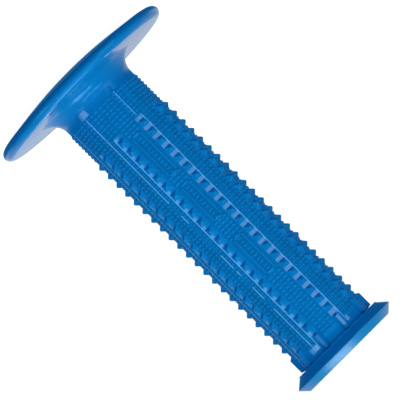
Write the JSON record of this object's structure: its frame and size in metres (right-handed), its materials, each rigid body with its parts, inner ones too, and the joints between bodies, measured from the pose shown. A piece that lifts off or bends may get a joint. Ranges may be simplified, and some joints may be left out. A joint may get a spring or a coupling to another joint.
{
  "type": "handlebar grip",
  "caption": "Moulded rubber handlebar grip with a wide domed inner flange, pyramid-tooth strips, a narrow outer flange and a push-in end plug.",
  "frame": {"origin": "centre of the bore at the flat seat face under the wide inner flange", "axes": "+Z along the bore from the wide inner flange to the narrow outer flange; -Y through the middle of one plain panel"},
  "size_m": [0.0694, 0.0694, 0.127],
  "materials": {
    "grip_rubber": "satin moulded rubber, mid blue",
    "plug_plastic": "satin moulded plastic, mid blue"
  },
  "bodies": {
    "sleeve": {"grip_sleeve": "grip_rubber"},
    "plug": {"end_plug": "plug_plastic"}
  },
  "joints": [
    {"name": "plug_pull", "type": "slide", "parent": "sleeve", "child": "plug", "axis": [0, 0, 1], "range_m": [0, 0.024]}
  ]
}
